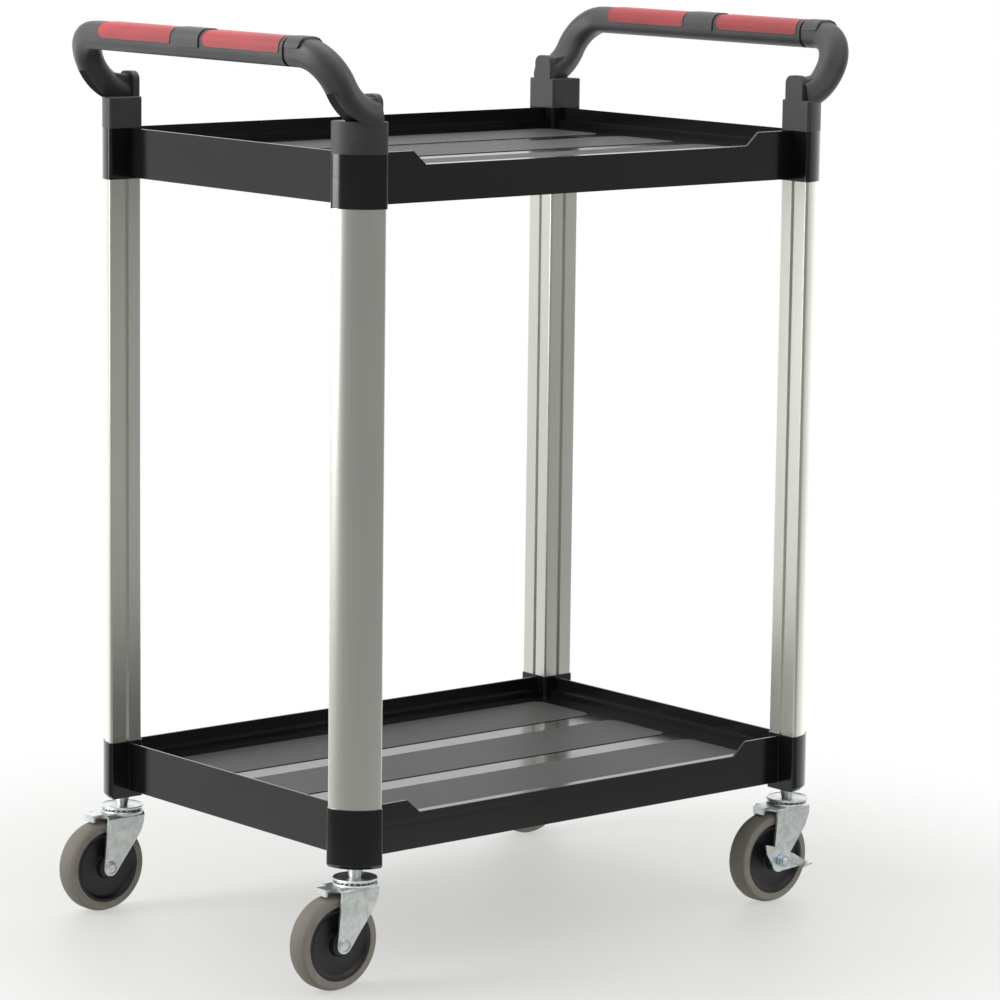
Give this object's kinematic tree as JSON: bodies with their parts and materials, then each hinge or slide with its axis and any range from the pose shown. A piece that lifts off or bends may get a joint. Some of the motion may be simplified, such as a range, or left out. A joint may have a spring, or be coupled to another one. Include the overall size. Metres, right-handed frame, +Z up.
{
  "type": "food service trolley",
  "caption": "Food service trolley with moulded trays one above the other on aluminium posts, bent end handles with soft grips, and swivel castors with brake levers at one end.",
  "frame": {"origin": "on the floor, midway between the four posts", "axes": "+X along the length to the end with the braked castors, +Y across the width away from the lowered tray side, +Z up"},
  "size_m": [0.7548, 0.4738, 0.974],
  "materials": {
    "shelf_plastic": "black injection moulding, satin walls and a fine grained deck",
    "socket_steel": "turned steel",
    "screw_steel": "blackened steel",
    "handle_plastic": "charcoal glass-filled nylon, finely textured",
    "grip_rubber": "soft red overmould",
    "post_aluminium": "satin anodised extrusion",
    "zinc_steel": "zinc plated pressed steel",
    "ball_steel": "polished bearing steel",
    "nut_steel": "blue passivated zinc",
    "wheel_plastic": "black moulded nylon",
    "tyre_rubber": "warm grey non-marking rubber"
  },
  "bodies": {
    "trolley": {"lower_shelf": "shelf_plastic", "upper_shelf": "shelf_plastic", "castor_sockets": "socket_steel", "handle_screws": "screw_steel", "handle_joint_screws": "screw_steel", "left_handle_long_half": "handle_plastic", "left_handle_short_half": "handle_plastic", "left_front_grip": "grip_rubber", "left_rear_grip": "grip_rubber", "right_handle_long_half": "handle_plastic", "right_handle_short_half": "handle_plastic", "right_front_grip": "grip_rubber", "right_rear_grip": "grip_rubber", "front_left_post": "post_aluminium", "front_left_castor_stem": "zinc_steel", "front_left_bearing_cup": "zinc_steel", "front_right_post": "post_aluminium", "front_right_castor_stem": "zinc_steel", "front_right_bearing_cup": "zinc_steel", "rear_left_post": "post_aluminium", "rear_left_castor_stem": "zinc_steel", "rear_left_bearing_cup": "zinc_steel", "rear_right_post": "post_aluminium", "rear_right_castor_stem": "zinc_steel", "rear_right_bearing_cup": "zinc_steel"},
    "front_left_swivel": {"front_left_fork": "zinc_steel", "front_left_bearing_balls": "ball_steel", "front_left_axle_bolt": "zinc_steel", "front_left_axle_nut": "nut_steel", "front_left_axle_bush": "zinc_steel"},
    "front_left_wheel": {"front_left_wheel_centre": "wheel_plastic", "front_left_tyre": "tyre_rubber"},
    "front_right_swivel": {"front_right_fork": "zinc_steel", "front_right_bearing_balls": "ball_steel", "front_right_axle_bolt": "zinc_steel", "front_right_axle_nut": "nut_steel", "front_right_axle_bush": "zinc_steel"},
    "front_right_wheel": {"front_right_wheel_centre": "wheel_plastic", "front_right_tyre": "tyre_rubber"},
    "front_right_brake": {"front_right_brake_lever": "zinc_steel"},
    "rear_left_swivel": {"rear_left_fork": "zinc_steel", "rear_left_bearing_balls": "ball_steel", "rear_left_axle_bolt": "zinc_steel", "rear_left_axle_nut": "nut_steel", "rear_left_axle_bush": "zinc_steel"},
    "rear_left_wheel": {"rear_left_wheel_centre": "wheel_plastic", "rear_left_tyre": "tyre_rubber"},
    "rear_right_swivel": {"rear_right_fork": "zinc_steel", "rear_right_bearing_balls": "ball_steel", "rear_right_axle_bolt": "zinc_steel", "rear_right_axle_nut": "nut_steel", "rear_right_axle_bush": "zinc_steel"},
    "rear_right_wheel": {"rear_right_wheel_centre": "wheel_plastic", "rear_right_tyre": "tyre_rubber"},
    "rear_right_brake": {"rear_right_brake_lever": "zinc_steel"}
  },
  "joints": [
    {"name": "front_left_swivel_turn", "type": "hinge", "parent": "trolley", "child": "front_left_swivel", "pos_m": [-0.3055, -0.2068, 0.108], "axis": [0, 0, 1], "continuous": true},
    {"name": "front_left_wheel_spin", "type": "hinge", "parent": "front_left_swivel", "child": "front_left_wheel", "pos_m": [-0.3335, -0.2068, 0.05], "axis": [0, 1, 0], "continuous": true},
    {"name": "front_right_swivel_turn", "type": "hinge", "parent": "trolley", "child": "front_right_swivel", "pos_m": [0.3055, -0.2068, 0.108], "axis": [0, 0, 1], "continuous": true},
    {"name": "front_right_wheel_spin", "type": "hinge", "parent": "front_right_swivel", "child": "front_right_wheel", "pos_m": [0.2775, -0.2068, 0.05], "axis": [0, 1, 0], "continuous": true},
    {"name": "front_right_brake_press", "type": "hinge", "parent": "front_right_swivel", "child": "front_right_brake", "pos_m": [0.2775, -0.2068, 0.05], "axis": [0, 1, 0], "range_deg": [0, 20]},
    {"name": "rear_left_swivel_turn", "type": "hinge", "parent": "trolley", "child": "rear_left_swivel", "pos_m": [-0.3055, 0.2068, 0.108], "axis": [0, 0, 1], "continuous": true},
    {"name": "rear_left_wheel_spin", "type": "hinge", "parent": "rear_left_swivel", "child": "rear_left_wheel", "pos_m": [-0.3335, 0.2068, 0.05], "axis": [0, 1, 0], "continuous": true},
    {"name": "rear_right_swivel_turn", "type": "hinge", "parent": "trolley", "child": "rear_right_swivel", "pos_m": [0.3055, 0.2068, 0.108], "axis": [0, 0, 1], "continuous": true},
    {"name": "rear_right_wheel_spin", "type": "hinge", "parent": "rear_right_swivel", "child": "rear_right_wheel", "pos_m": [0.2775, 0.2068, 0.05], "axis": [0, 1, 0], "continuous": true},
    {"name": "rear_right_brake_press", "type": "hinge", "parent": "rear_right_swivel", "child": "rear_right_brake", "pos_m": [0.2775, 0.2068, 0.05], "axis": [0, 1, 0], "range_deg": [0, 20]}
  ]
}
